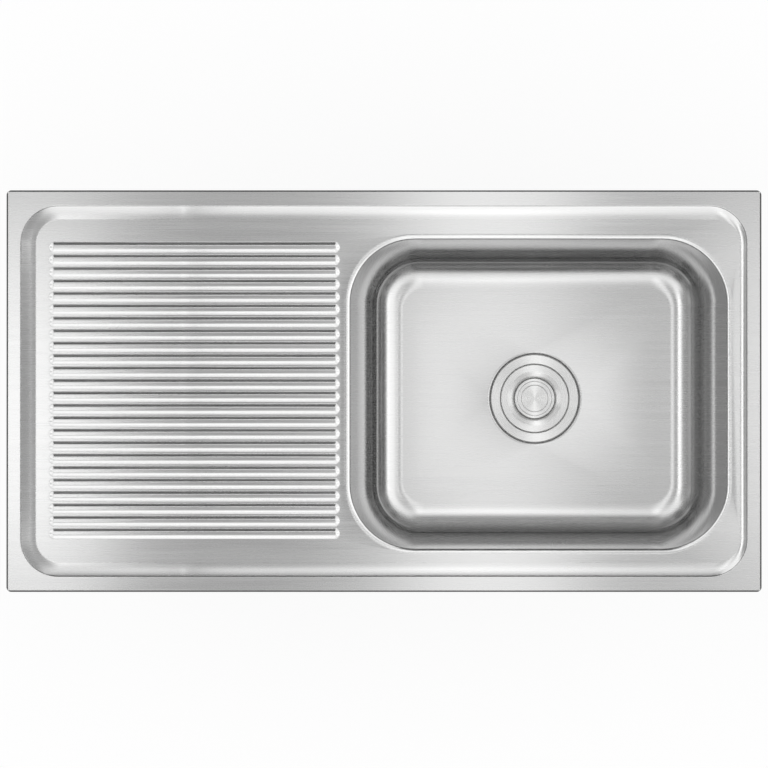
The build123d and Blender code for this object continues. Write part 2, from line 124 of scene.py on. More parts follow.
def spread(tree, value, low, high, toLow=0.0, toHigh=1.0, smooth=False):
    node = addNode(tree, "ShaderNodeMapRange", {0: value, 1: low, 2: high, 3: toLow, 4: toHigh})
    if smooth:
        node.interpolation_type = "SMOOTHSTEP"
    return node.outputs[0]


def startGroup(name, inputs, outputs):
    group = bpy.data.node_groups.new(name, "ShaderNodeTree")
    for label, kind, default in inputs:
        socket = group.interface.new_socket(name=label, in_out="INPUT", socket_type=kind)
        socket.default_value = default
    for label, kind in outputs:
        group.interface.new_socket(name=label, in_out="OUTPUT", socket_type=kind)
    return group, group.nodes.new("NodeGroupInput"), group.nodes.new("NodeGroupOutput")


standing, lying = 0.35, 0.85  # upright part of the normal of a standing and of a level face


def levelShare(tree):
    # 1 where a surface lies level, 0 where it stands
    normal = addNode(tree, "ShaderNodeTexCoord").outputs["Normal"]
    upright = addNode(tree, "ShaderNodeSeparateXYZ", {0: normal}).outputs[2]
    return normal, spread(tree, mathNode(tree, "ABSOLUTE", upright), standing, lying, smooth=True)


brushLines = {
    "detail": 3.0, "broadDetail": 2.0, "broadScale": (0.35, 0.11, 1.0), "fineShare": 0.6, "wallShift": 7.0,
}


def straightBrushingGroup():
    # fine lines along X on level faces and along the wall on standing ones
    group, given, out = startGroup(
        "straightBrushing",
        [("Lines", "NodeSocketFloat", 900.0), ("Length", "NodeSocketFloat", 9.0)],
        [("Tone", "NodeSocketFloat"), ("Height", "NodeSocketFloat")],
    )
    b = brushLines
    place = addNode(group, "ShaderNodeTexCoord").outputs["Object"]
    x, y, z = addNode(group, "ShaderNodeSeparateXYZ", {0: place}).outputs
    level = levelShare(group)[1]
    flatAlong = mathNode(group, "MULTIPLY", x, given.outputs["Length"])
    flatAcross = mathNode(group, "MULTIPLY", y, given.outputs["Lines"])
    wallAlong = mathNode(group, "MULTIPLY", mathNode(group, "ADD", x, y), given.outputs["Length"])
    wallAcross = mathNode(group, "MULTIPLY", z, given.outputs["Lines"])
    flat = addNode(group, "ShaderNodeCombineXYZ", {0: flatAlong, 1: flatAcross}).outputs[0]
    wall = addNode(group, "ShaderNodeCombineXYZ", {0: wallAlong, 1: wallAcross, 2: b["wallShift"]}).outputs[0]
    tones = []
    for lines in (flat, wall):
        fine = addNode(group, "ShaderNodeTexNoise", {"Vector": lines, "Scale": 1.0, "Detail": b["detail"]})
        broadPlace = vectorNode(group, "MULTIPLY", lines, b["broadScale"])
        broad = addNode(
            group, "ShaderNodeTexNoise", {"Vector": broadPlace, "Scale": 1.0, "Detail": b["broadDetail"]}
        )
        fineShare = mathNode(group, "MULTIPLY", fine.outputs[0], b["fineShare"])
        tones.append(mathNode(group, "MULTIPLY_ADD", broad.outputs[0], 1 - b["fineShare"]))
        group.links.new(fineShare, tones[-1].node.inputs[2])
    tone = addNode(group, "ShaderNodeMix", {0: level, 2: tones[1], 3: tones[0]}).outputs[0]
    group.links.new(tone, out.inputs["Tone"])
    group.links.new(tone, out.inputs["Height"])
    return group


def roundBrushingGroup():
    # fine rings round the drain's axis
    group, given, out = startGroup(
        "roundBrushing",
        [("Lines", "NodeSocketFloat", 1500.0), ("Length", "NodeSocketFloat", 2.0)],
        [("Tone", "NodeSocketFloat"), ("Height", "NodeSocketFloat")],
    )
    place = addNode(group, "ShaderNodeTexCoord").outputs["Object"]
    arm = vectorNode(group, "SUBTRACT", place, drainCentre)
    flatArm = vectorNode(group, "MULTIPLY", arm, (1, 1, 0))
    radius = vectorNode(group, "LENGTH", flatArm, output="Value")
    side = vectorNode(group, "NORMALIZE", flatArm)
    upright = addNode(group, "ShaderNodeSeparateXYZ", {0: arm}).outputs[2]
    across = mathNode(group, "MULTIPLY", mathNode(group, "ADD", radius, upright), given.outputs["Lines"])
    stretched = addNode(group, "ShaderNodeVectorMath", {0: side}, operation="SCALE")
    group.links.new(given.outputs["Length"], stretched.inputs["Scale"])
    along = addNode(group, "ShaderNodeSeparateXYZ", {0: stretched.outputs[0]}).outputs
    lines = addNode(group, "ShaderNodeCombineXYZ", {0: along[0], 1: along[1], 2: across}).outputs[0]
    tone = addNode(
        group, "ShaderNodeTexNoise", {"Vector": lines, "Scale": 1.0, "Detail": brushLines["detail"]}
    ).outputs[0]
    group.links.new(tone, out.inputs["Tone"])
    group.links.new(tone, out.inputs["Height"])
    return group


def grainGroup():
    # even fine grain, as on moulded, rolled or foamed surfaces
    group, given, out = startGroup(
        "grain",
        [("Scale", "NodeSocketFloat", 900.0), ("Patches", "NodeSocketFloat", 30.0)],
        [("Tone", "NodeSocketFloat"), ("Height", "NodeSocketFloat")],
    )
    place = addNode(group, "ShaderNodeTexCoord").outputs["Object"]
    fine = addNode(group, "ShaderNodeTexNoise", {"Vector": place, "Detail": 3.0})
    group.links.new(given.outputs["Scale"], fine.inputs["Scale"])
    patches = addNode(group, "ShaderNodeTexNoise", {"Vector": place, "Detail": 2.0})
    group.links.new(given.outputs["Patches"], patches.inputs["Scale"])
    tone = addNode(group, "ShaderNodeMix", {0: 0.5, 2: fine.outputs[0], 3: patches.outputs[0]}).outputs[0]
    group.links.new(tone, out.inputs["Tone"])
    group.links.new(fine.outputs[0], out.inputs["Height"])
    return group


straightBrushing = straightBrushingGroup()
roundBrushing = roundBrushingGroup()
grain = grainGroup()


def straightTangent(tree):
    # highlights spread across the brushing: in Y on level faces, level along standing ones
    normal, level = levelShare(tree)
    across = vectorNode(tree, "CROSS_PRODUCT", (1, 0, 0), normal)
    alongWall = vectorNode(tree, "CROSS_PRODUCT", (0, 0, 1), normal)
    return vectorNode(tree, "NORMALIZE", mixVector(tree, level, alongWall, across))


def roundTangent(tree):
    normal = addNode(tree, "ShaderNodeTexCoord").outputs["Normal"]
    place = addNode(tree, "ShaderNodeTexCoord").outputs["Object"]
    arm = vectorNode(tree, "SUBTRACT", place, drainCentre)
    along = vectorNode(tree, "CROSS_PRODUCT", (0, 0, 1), arm)
    return vectorNode(tree, "NORMALIZE", vectorNode(tree, "CROSS_PRODUCT", along, normal))


def finish(name, look, pattern, patternInputs, tangent=None, rimShade=None):
    # one shader: a pattern group drives its tone, gloss and relief
    material = bpy.data.materials.new(name)
    material.use_nodes = True
    tree = material.node_tree
    shader = tree.nodes["Principled BSDF"]
    shader.inputs["Metallic"].default_value = look["metallic"]
    shader.inputs["Anisotropic"].default_value = look.get("anisotropic", 0.0)
    shader.inputs["Specular IOR Level"].default_value = look.get("specular", 0.5)
    texture = addNode(tree, "ShaderNodeGroup", node_tree=pattern)
    for label, value in patternInputs.items():
        texture.inputs[label].default_value = value
    dark = (*[c * (1 - look["contrast"]) for c in look["colour"]], 1)
    light = (*[min(1, c * (1 + look["contrast"])) for c in look["colour"]], 1)
    tone = spread(tree, texture.outputs["Tone"], 0.3, 0.7)
    colour = mixColour(tree, tone, dark, light)
    low, high = look["roughness"]
    roughness = spread(tree, tone, 0, 1, low, high)
    # painted shade: standing faces (bowl walls, recess steps, rib sides) get a darker base colour that stands
    # in for the shade on them; they are also made glossier
    if "wallShadeTone" in look:
        wall = mathNode(tree, "SUBTRACT", 1.0, levelShare(tree)[1])
        shadedWallColour = (*[c * look["wallShadeTone"] for c in look["colour"]], 1)
        colour = mixColour(tree, mathNode(tree, "MULTIPLY", wall, look["wallShadeShare"]), colour, shadedWallColour)
        smoother = mathNode(tree, "SUBTRACT", 1.0, mathNode(tree, "MULTIPLY", wall, 1 - look["wallGloss"]))
        roughness = mathNode(tree, "MULTIPLY", roughness, smoother)
    # painted shade: a dark band round the rim's outer edge stands in for the shade and dark reflection along
    # the sink's outline; its gloss is made rougher too
    if rimShade:
        place = addNode(tree, "ShaderNodeTexCoord").outputs["Object"]
        x, y, z = addNode(tree, "ShaderNodeSeparateXYZ", {0: place}).outputs
        overX = mathNode(tree, "SUBTRACT", mathNode(tree, "ABSOLUTE", x), rimHigh.x - rimShade["width"])
        overY = mathNode(tree, "SUBTRACT", mathNode(tree, "ABSOLUTE", y), rimHigh.y - rimShade["width"])
        rimShadeMask = spread(tree, mathNode(tree, "MAXIMUM", overX, overY), 0, rimShade["blur"], smooth=True)
        colour = mixColour(tree, rimShadeMask, colour, (*rimShade["colour"], 1))
        roughness = mathNode(tree, "MAXIMUM", roughness, mathNode(tree, "MULTIPLY", rimShadeMask, rimShade["roughness"]))
    tree.links.new(colour, shader.inputs["Base Color"])
    tree.links.new(roughness, shader.inputs["Roughness"])
    bump = addNode(tree, "ShaderNodeBump", {"Strength": look["relief"], "Distance": look["depth"]})
    tree.links.new(texture.outputs["Height"], bump.inputs["Height"])
    tree.links.new(bump.outputs[0], shader.inputs["Normal"])
    if tangent:
        tree.links.new(tangent(tree), shader.inputs["Tangent"])
    return material


materials = {
    "satin_steel": finish(
        "satinSteel",
        {
            "colour": (0.66, 0.66, 0.658), "contrast": 0.035, "roughness": (0.23, 0.3), "metallic": 1.0,
            # the wall values paint a darker shade onto standing faces and make them glossier
            "anisotropic": 0.6, "relief": 0.06, "depth": 0.00002, "wallShadeTone": 0.42, "wallShadeShare": 0.9,
            "wallGloss": 0.3,
        },
        straightBrushing,
        {"Lines": 1100.0, "Length": 9.0},
        tangent=straightTangent,
        # painted dark band round the rim's edge, standing in for shade and dark reflection
        rimShade={"width": 2.0 * mm, "blur": 0.4 * mm, "colour": (0.07, 0.07, 0.07), "roughness": 0.5},
    ),
    "turned_steel": finish(
        "turnedSteel",
        {
            "colour": (0.75, 0.75, 0.745), "contrast": 0.05, "roughness": (0.24, 0.3), "metallic": 1.0,
            "anisotropic": 0.9, "relief": 0.08, "depth": 0.00002,
        },
        roundBrushing,
        {"Lines": 1600.0, "Length": 1.5},
        tangent=roundTangent,
    ),
    "mill_steel": finish(
        "millSteel",
        {
            "colour": (0.6, 0.6, 0.59), "contrast": 0.08, "roughness": (0.35, 0.5), "metallic": 1.0,
            "relief": 0.15, "depth": 0.00005,
        },
        grain,
        {"Scale": 700.0, "Patches": 18.0},
    ),
    "zinc_steel": finish(
        "zincSteel",
        {
            "colour": (0.66, 0.68, 0.7), "contrast": 0.1, "roughness": (0.22, 0.38), "metallic": 1.0,
            "relief": 0.12, "depth": 0.00004,
        },
        grain,
        {"Scale": 500.0, "Patches": 120.0},
    ),
    "black_rubber": finish(
        "blackRubber",
        {
            "colour": (0.028, 0.028, 0.028), "contrast": 0.25, "roughness": (0.55, 0.75), "metallic": 0.0,
            "relief": 0.3, "depth": 0.00008,
        },
        grain,
        {"Scale": 1500.0, "Patches": 60.0},
    ),
    "grey_foam": finish(
        "greyFoam",
        {
            "colour": (0.09, 0.09, 0.092), "contrast": 0.3, "roughness": (0.85, 0.98), "metallic": 0.0,
            "relief": 0.8, "depth": 0.0003,
        },
        grain,
        {"Scale": 2200.0, "Patches": 200.0},
    ),
    "bitumen_pad": finish(
        "bitumenPad",
        {
            "colour": (0.075, 0.076, 0.08), "contrast": 0.25, "roughness": (0.7, 0.9), "metallic": 0.0,
            "relief": 0.7, "depth": 0.0004,
        },
        grain,
        {"Scale": 420.0, "Patches": 40.0},
    ),
    "black_plastic": finish(
        "blackPlastic",
        {
            "colour": (0.022, 0.022, 0.024), "contrast": 0.2, "roughness": (0.32, 0.48), "metallic": 0.0,
            "relief": 0.25, "depth": 0.00006,
        },
        grain,
        {"Scale": 1800.0, "Patches": 45.0},
    ),
    "white_plastic": finish(
        "whitePlastic",
        {
            "colour": (0.72, 0.72, 0.7), "contrast": 0.04, "roughness": (0.35, 0.45), "metallic": 0.0,
            "relief": 0.1, "depth": 0.00005,
        },
        grain,
        {"Scale": 1500.0, "Patches": 40.0},
    ),
}
print("materials made")


# making pieces
def addPiece(name, bm, standsFor, material=None):
    # a mesh object that rides where the node that it stands for rides
    node = standsFor[0]
    mesh = bpy.data.meshes.new(name)
    bm.to_mesh(mesh)
    bm.free()
    mesh.shade_smooth()
    mesh.materials.append(material or materials[slotOf[node]])
    piece = bpy.data.objects.new(name, mesh)
    bpy.context.scene.collection.objects.link(piece)
    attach(piece, bodyOf[node])
    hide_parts(*standsFor)
    return piece


def addWall(piece, thickness):
    wall = piece.modifiers.new("wall", "SOLIDIFY")
    wall.thickness = thickness
    wall.offset = -1
    wall.use_even_offset = True
    wall.use_quality_normals = True


def addSmoothing(piece):
    smoothing = piece.modifiers.new("flatFaces", "WEIGHTED_NORMAL")
    smoothing.mode = "FACE_AREA"
    smoothing.weight = 50
    smoothing.keep_sharp = True


def firstRing(bm, shape, segments=16):
    # edges of a rounded rectangle; a shape is left, right, front, back, level and corner radius
    left, right, front, back, level, corner = shape
    places = ((left, front), (right, front), (right, back), (left, back))
    corners = [bm.verts.new((x, y, level)) for x, y in places]
    bm.faces.new(corners)
    bmesh.ops.bevel(
        bm, geom=corners, offset=corner, offset_type="OFFSET", segments=segments,
        profile=0.5, affect="VERTICES", material=-1,
    )
    face = max((f for f in bm.faces if abs(f.verts[0].co.z - level) < merge), key=lambda f: len(f.verts))
    edges = list(face.edges)
    bmesh.ops.delete(bm, geom=[face], context="FACES_ONLY")
    return edges


def nextRing(bm, edges, old, new):
    # extrude a ring and fit it to its new shape
    made = bmesh.ops.extrude_edge_only(bm, edges=edges)["geom"]
    verts = {item for item in made if isinstance(item, bmesh.types.BMVert)}
    middle = ((old[0] + old[1]) / 2, (old[2] + old[3]) / 2)
    for vert in verts:
        for axis in (0, 1):
            high = vert.co[axis] > middle[axis]
            index = 2 * axis + high
            outwards = 1 if high else -1
            was = old[index] - outwards * old[5]
            vert.co[axis] = new[index] - outwards * new[5] + (vert.co[axis] - was) * new[5] / old[5]
        vert.co.z = new[4]
    return [item for item in made if isinstance(item, bmesh.types.BMEdge) and set(item.verts) <= verts]


def addRings(bm, shapes, first=None):
    rings = [first or firstRing(bm, shapes[0])]
    for old, new in zip(shapes, shapes[1:]):
        rings.append(nextRing(bm, rings[-1], old, new))
    return rings


def roundEdges(bm, edges, radius, segments):
    bmesh.ops.bevel(
        bm, geom=edges, offset=radius, offset_type="OFFSET", segments=segments,
        profile=0.5, affect="EDGES", material=-1, clamp_overlap=False, loop_slide=True,
    )


def edgesOf(verts):
    return list({rimShade for vert in verts for rimShade in vert.link_edges})


def faceUp(bm):
    # all faces one way, with the level ones looking up
    bmesh.ops.recalc_face_normals(bm, faces=bm.faces[:])
    if sum(face.normal.z * face.calc_area() for face in bm.faces) < 0:
        bmesh.ops.reverse_faces(bm, faces=bm.faces[:])


def addSection(bm, points, radii, closed=False):
    # a half section beside the drain's axis; radii rounds some of its corners
    verts = [bm.verts.new((drain.x + r * mm, drain.y, z)) for r, z in points]
    pairs = zip(verts, verts[1:] + verts[:1]) if closed else zip(verts, verts[1:])
    for first, second in pairs:
        bm.edges.new((first, second))
    for index, radius in radii.items():
        bmesh.ops.bevel(
            bm, geom=[verts[index]], offset=radius * mm, offset_type="OFFSET", segments=4,
            profile=0.5, affect="VERTICES", material=-1,
        )


def turn(bm, steps=128):
    bmesh.ops.spin(
        bm, geom=bm.verts[:] + bm.edges[:], cent=drainCentre, axis=(0, 0, 1), angle=2 * pi,
        steps=steps, use_merge=True, use_duplicate=False,
    )
    bmesh.ops.remove_doubles(bm, verts=bm.verts[:], dist=merge)
    bmesh.ops.recalc_face_normals(bm, faces=bm.faces[:])


def addThread(bm, centre, top, bottom, crest, root, pitch, steps):
    # one turn of the thread's vee, repeated from top to bottom
    coil = bmesh.new()
    vee = [
        coil.verts.new((centre.x + radius, centre.y, top - share * pitch))
        for radius, share in ((root, 0), (crest, 0.5), (root, 1))
    ]
    edges = [coil.edges.new(pair) for pair in zip(vee, vee[1:])]
    bmesh.ops.spin(
        coil, geom=vee + edges, cent=(centre.x, centre.y, 0), axis=(0, 0, 1),
        dvec=(0, 0, -pitch / steps), angle=2 * pi, steps=steps, use_merge=False, use_duplicate=False,
    )
    bmesh.ops.remove_doubles(coil, verts=coil.verts[:], dist=merge)
    bmesh.ops.recalc_face_normals(coil, faces=coil.faces[:])
    mesh = bpy.data.meshes.new("threadTurn")
    for index in range(int((top - bottom) / pitch) - 1):
        coil.to_mesh(mesh)
        bm.from_mesh(mesh)
        bmesh.ops.translate(coil, verts=coil.verts[:], vec=(0, 0, -pitch))
    coil.free()
    bpy.data.meshes.remove(mesh)


def copyNode(node, name, bevelWidth=0.3, angle=35, above=None, below=None, extra=None):
    # a merged copy of a node with softened edges
    bm = bmesh.new()
    bm.from_mesh(nodes[node].data)
    bmesh.ops.remove_doubles(bm, verts=bm.verts[:], dist=1e-6)
    for level, upwards in ((above, False), (below, True)):
        if level is not None:
            bmesh.ops.bisect_plane(
                bm, geom=bm.verts[:] + bm.edges[:] + bm.faces[:], plane_co=(0, 0, level),
                plane_no=(0, 0, 1), clear_outer=upwards, clear_inner=not upwards,
            )
    bmesh.ops.dissolve_limit(
        bm, angle_limit=radians(0.6), verts=bm.verts[:], edges=bm.edges[:], use_dissolve_boundaries=False,
    )
    if extra:
        extra(bm)
    piece = addPiece(name, bm, [node])
    piece.data.set_sharp_from_angle(angle=radians(angle))
    soft = piece.modifiers.new("softEdges", "BEVEL")
    soft.width = bevelWidth * mm
    soft.segments = 2
    soft.limit_method = "ANGLE"
    soft.angle_limit = radians(angle)
    addSmoothing(piece)
    return piece


# pressed top
topSheet = {
    "rimCorner": 6, "edgeRadius": 2, "edgeSpare": 0.5,
    "border": {"left": 17.5, "right": 17.5, "front": 19, "back": 19},
    "recessCorner": 47, "borderRadius": 0.5,
    "stepRun": 0.8, "stepDrop": 1.8,
    "slope": {"left": 19, "right": 8.5, "front": 17, "back": 17},
    "recessDepth": 7, "deckCorner": 30,
    "slopeShares": (0.1, 0.25, 0.42, 0.6, 0.78, 0.9), "slopeBend": 1.8,
    "grooveShare": 0.95, "grooveDepth": 0.1, "grooveCorner": 0.8,
    "beadWidth": 7, "beadRun": 0.8, "beadHeight": 1.0, "beadRadius": 7.8, "beadTurn": 36, "beadSteps": 5,
    "crownRadius": 0.3, "lipRadius": 3.6, "lipTurns": (50, 65, 78), "lipDrop": 0.8, "mouthCorner": 80,
}
ribs = {
    "count": 24, "pitch": 15.5, "base": 12.8, "crest": 4.8, "height": 3.0, "foot": 0.7,
    "crestRadius": 1.0, "footRadius": 0.6, "leftMargin": 15.8, "rightMargin": 7.0, "middleY": 1.0, "sides": 24,
}
deckZ = rimZ - topSheet["recessDepth"] * mm


def recessShape(borderShare, stepShare, slopeShare, level, corner):
    inset = {
        side: (borderShare * topSheet["border"][side] + stepShare * topSheet["stepRun"]
               + slopeShare * topSheet["slope"][side]) * mm
        for side in ("left", "right", "front", "back")
    }
    return (
        rimLow.x + inset["left"], rimHigh.x - inset["right"],
        rimLow.y + inset["front"], rimHigh.y - inset["back"], level, corner * mm,
    )


def rimShape(inset, level):
    return (
        rimLow.x + inset * mm, rimHigh.x - inset * mm, rimLow.y + inset * mm, rimHigh.y - inset * mm,
        level, (topSheet["rimCorner"] - inset) * mm,
    )


def mouthShape(grow, level):
    return (
        mouthLow.x - grow * mm, mouthHigh.x + grow * mm, mouthLow.y - grow * mm,
        mouthHigh.y + grow * mm, level, (topSheet["mouthCorner"] + grow) * mm,
    )


def addRib(bm, left, right, middle):
    # rounded bar with a flat crest; gives back the loop where it leaves the deck
    halfBase = ribs["base"] * mm / 2
    reach = (right - left) / 2 - halfBase
    centre = (left + right) / 2
    shapes = [
        (centre - reach - radius, centre + reach + radius, middle - radius, middle + radius, level, radius)
        for radius, level in (
            (halfBase + ribs["foot"] * mm, deckZ),
            (halfBase, deckZ),
            (ribs["crest"] * mm / 2, deckZ + ribs["height"] * mm),
        )
    ]
    ring = bmesh.ops.create_circle(
        bm, cap_ends=False, radius=shapes[0][5] / cos(pi / ribs["sides"]), segments=ribs["sides"],
        matrix=Matrix.Translation((centre, middle, deckZ)) @ Matrix.Rotation(pi / ribs["sides"], 4, "Z"),
    )["verts"]
    for side in (-1, 1):
        end = [v for v in ring if (v.co.x - centre) * side > 0]
        bmesh.ops.translate(bm, verts=end, vec=(side * reach, 0, 0))
    foot, base, crest = addRings(bm, shapes, edgesOf(ring))
    bmesh.ops.edgeloop_fill(bm, edges=crest)
    roundEdges(bm, crest, ribs["crestRadius"] * mm, 3)
    roundEdges(bm, base, ribs["footRadius"] * mm, 2)
    return foot


def makeTop():
    bm = bmesh.new()
    t = topSheet
    stepZ = rimZ - t["stepDrop"] * mm
    stepCorner = t["recessCorner"] - t["stepRun"]
    shapes = [
        rimShape(0, 0.0),
        rimShape(0, rimZ),
        rimShape(t["edgeRadius"] + t["edgeSpare"], rimZ),
        recessShape(1, -1, 0, rimZ, t["recessCorner"] + t["stepRun"]),
        recessShape(1, 0, 0, rimZ, t["recessCorner"]),
        recessShape(1, 1, 0, stepZ, stepCorner),
    ]
    for share in t["slopeShares"]:
        level = deckZ + (stepZ - deckZ) * (1 - share) ** t["slopeBend"]
        corner = stepCorner + share * (t["deckCorner"] - stepCorner)
        shapes.append(recessShape(1, 1, share, level, corner))
    shapes.append(recessShape(
        1, 1, t["grooveShare"], deckZ - t["grooveDepth"] * mm, t["deckCorner"] + t["grooveCorner"],
    ))
    shapes.append(recessShape(1, 1, 1, deckZ, t["deckCorner"]))
    rings = addRings(bm, shapes)
    # bead and mouth
    crownAt = t["beadWidth"] - t["beadRun"]
    beadShapes = [mouthShape(t["beadWidth"], deckZ)]
    for index in range(t["beadSteps"] + 1):
        slope = radians(t["beadTurn"] * index / t["beadSteps"])
        drop = t["beadRadius"] * (1 - cos(slope))
        beadShapes.append(
            mouthShape(crownAt - t["beadRadius"] * sin(slope), deckZ + (t["beadHeight"] - drop) * mm)
        )
    lipStart = crownAt - t["beadRadius"] * sin(slope)
    lipTop = beadShapes[-1][4]
    for turned in t["lipTurns"]:
        aside = t["lipRadius"] * (sin(radians(turned)) - sin(slope))
        drop = t["lipRadius"] * (cos(slope) - cos(radians(turned)))
        beadShapes.append(mouthShape(lipStart - aside, lipTop - drop * mm))
    beadShapes.append(mouthShape(0, beadShapes[-1][4] - t["lipDrop"] * mm))
    beadShapes.append(mouthShape(0, weldZ))
    bead = addRings(bm, beadShapes)
    foot, crown = bead[:2]
    # ribs
    ribsLeft = rimLow.x + (t["border"]["left"] + t["stepRun"] + t["slope"]["left"] + ribs["leftMargin"]) * mm
    ribsRight = mouthLow.x - (t["beadWidth"] + ribs["rightMargin"]) * mm
    feet = []
    for index in range(ribs["count"]):
        middle = (ribs["middleY"] + (index - (ribs["count"] - 1) / 2) * ribs["pitch"]) * mm
        feet += addRib(bm, ribsLeft, ribsRight, middle)
    bmesh.ops.triangle_fill(bm, edges=rings[-1] + foot + feet, use_beauty=True, normal=(0, 0, 1))
    roundEdges(bm, rings[1], t["edgeRadius"] * mm, 5)
    roundEdges(bm, rings[4], t["borderRadius"] * mm, 3)
    roundEdges(bm, rings[5], t["borderRadius"] / 2 * mm, 2)
    roundEdges(bm, crown, t["crownRadius"] * mm, 2)
    faceUp(bm)
    top = addPiece("drainer_top_sheet", bm, ["drainer_top"])
    addWall(top, sheet)
    addSmoothing(top)
    return top


makeTop()
print("pressed top made")

# bowl
bowlShell = {
    "sideDraft": 10.7, "endDraft": 7.6, "floorRadius": 38.0, "floorCorner": 27.0,
    "floorSlopes": (82.4, 79.3, 73, 66, 59, 52, 45, 38, 31, 24, 17, 11, 6, 2.5, 0),
    "fall": 3.0, "fallRings": 9,
    "seatRadius": 59.8, "lipRadius": 4.0, "lipTurns": (15, 30, 45, 60), "seatFoot": 55.9, "seatDepth": 4,
    "hole": 45.5, "cornerSegments": 24,
}


def circleShape(radius, level):
    return (
        drain.x - radius * mm, drain.x + radius * mm, drain.y - radius * mm, drain.y + radius * mm,
        level, radius * mm,
    )


def wallInset(height, depth, draft):
    # how far a wall, or its rounding into the floor, has come in at a height over the floor
    tilt = radians(draft)
    radius = bowlShell["floorRadius"]
    if height >= radius * (1 - sin(tilt)):
        return (depth - height) * tan(tilt)
    reach = radius * tan((pi / 2 - tilt) / 2)
    return depth * tan(tilt) + reach - sqrt(radius ** 2 - (radius - height) ** 2)


def makeBowl():
    bm = bmesh.new()
    b = bowlShell
    floorZ = seatZ + (b["seatDepth"] + b["fall"]) * mm
    depth = (weldZ - floorZ) / mm
    heights = [depth] + [b["floorRadius"] * (1 - cos(radians(slope))) for slope in b["floorSlopes"]]
    insets = [(wallInset(h, depth, b["sideDraft"]), wallInset(h, depth, b["endDraft"])) for h in heights]
    shapes = []
    for height, (side, end) in zip(heights, insets):
        share = (side + end) / sum(insets[-1])
        corner = topSheet["mouthCorner"] + share * (b["floorCorner"] - topSheet["mouthCorner"])
        shapes.append((
            mouthLow.x + side * mm, mouthHigh.x - side * mm, mouthLow.y + end * mm, mouthHigh.y - end * mm,
            floorZ + height * mm, corner * mm,
        ))
    # floor falling to the drain: the rounded rectangle becomes a circle
    floorEdge = shapes[-1]
    lowest = floorZ - b["fall"] * mm
    seatEdge = circleShape(b["seatRadius"], lowest)
    for index in range(1, b["fallRings"] + 1):
        share = index / b["fallRings"]
        level = floorZ - b["fall"] * mm * share ** 2
        shapes.append((*[
            first + (last - first) * share for first, last in zip(floorEdge[:4], seatEdge[:4])
        ], level, floorEdge[5] + (seatEdge[5] - floorEdge[5]) * share))
    # rolled lip and seat
    for slope in b["lipTurns"]:
        aside, down = sin(radians(slope)), 1 - cos(radians(slope))
        level = lowest - b["lipRadius"] * down * mm
        shapes.append(circleShape(b["seatRadius"] - b["lipRadius"] * aside, level))
    shapes.append(circleShape(b["seatFoot"], seatZ))
    shapes.append(circleShape(b["hole"], seatZ))
    addRings(bm, shapes, firstRing(bm, shapes[0], b["cornerSegments"]))
    bmesh.ops.remove_doubles(bm, verts=bm.verts[:], dist=merge)
    faceUp(bm)
    bowl = addPiece("bowl_shell", bm, ["bowl"])
    addWall(bowl, sheet)
    addSmoothing(bowl)
    return bowl


makeBowl()
print("bowl made")

# waste
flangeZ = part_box("strainer_body")[1].z
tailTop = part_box("strainer_body")[0].z
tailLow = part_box("outlet_tail")[0].z
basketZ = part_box("basket_cup")[1].z
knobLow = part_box("knob_cap")[0].z
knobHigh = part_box("knob_cap")[1].z
wasteBody = {
    "flange": 55, "opening": 43.8, "dip": 0.8, "wall": 1.0, "ledge": 3.4, "cup": 40.6, "outlet": 19,
    "threadRoot": 40.95, "threadCrest": 41.6, "threadPitch": 2.0,
    "rounding": {0: 0.4, 1: 0.5, 2: 0.8, 4: 0.4, 5: 0.8, 8: 0.5},
}
tail = {"bore": 21.5, "root": 22.8, "crest": 23.9, "pitch": 2.31, "chamfer": 0.8}
basket = {
    "rim": 42.6, "cone": 34.4, "foot": 24.0, "coneDepth": 7.0, "lip": 2.0, "sheet": 0.8,
    "dish": ((31.4, 0.7), (28.4, 1.6), (25.7, 2.6)), "rounding": {1: 0.7, 2: 0.9, 3: 0.8, 4: 0.8, 5: 0.8},
    "holesBelow": 6.6,
}
knob = {
    "radius": 25.44, "skirtLift": 1.0, "land": 3.4, "dip": 0.8, "well": 17.2, "wellDepth": 1.4,
    "sheet": 1.5, "rounding": {1: 1.2, 2: 0.3, 3: 0.3, 4: 0.35, 5: 0.3},
}
hair = 1e-5  # a thread's foot lies this deep in its wall


def makeWasteBody():
    bm = bmesh.new()
    w = wasteBody
    throat = flangeZ - w["dip"] * mm
    ledge = flangeZ - w["ledge"] * mm
    wall = w["wall"] * mm
    drum = w["opening"] + w["wall"]
    section = [
        (w["flange"], flangeZ - wall), (w["flange"], flangeZ), (w["opening"], throat), (w["opening"], ledge),
        (w["cup"], ledge), (w["cup"], tailTop + wall), (w["outlet"], tailTop + wall), (w["outlet"], tailTop),
        (w["threadRoot"], tailTop), (w["threadRoot"], ledge - wall), (drum, ledge - wall),
        (drum, throat - wall),
    ]
    addSection(bm, section, w["rounding"], closed=True)
    turn(bm)
    addThread(
        bm, drain, ledge - 2 * wall, tailTop + wall, w["threadCrest"] * mm, w["threadRoot"] * mm - hair,
        w["threadPitch"] * mm, 96,
    )
    body = addPiece("strainer_body_turned", bm, ["strainer_body"])
    addSmoothing(body)


def makeTail():
    bm = bmesh.new()
    section = [
        (tail["bore"], tailTop), (tail["root"], tailTop), (tail["root"], tailLow), (tail["bore"], tailLow),
    ]
    addSection(bm, section, {2: tail["chamfer"] / 2}, closed=True)
    turn(bm, 96)
    addThread(
        bm, drain, tailTop - mm, tailLow + tail["chamfer"] * mm, tail["crest"] * mm,
        tail["root"] * mm - hair, tail["pitch"] * mm, 64,
    )
    piece = addPiece("outlet_tail_threaded", bm, ["outlet_tail"])
    addSmoothing(piece)


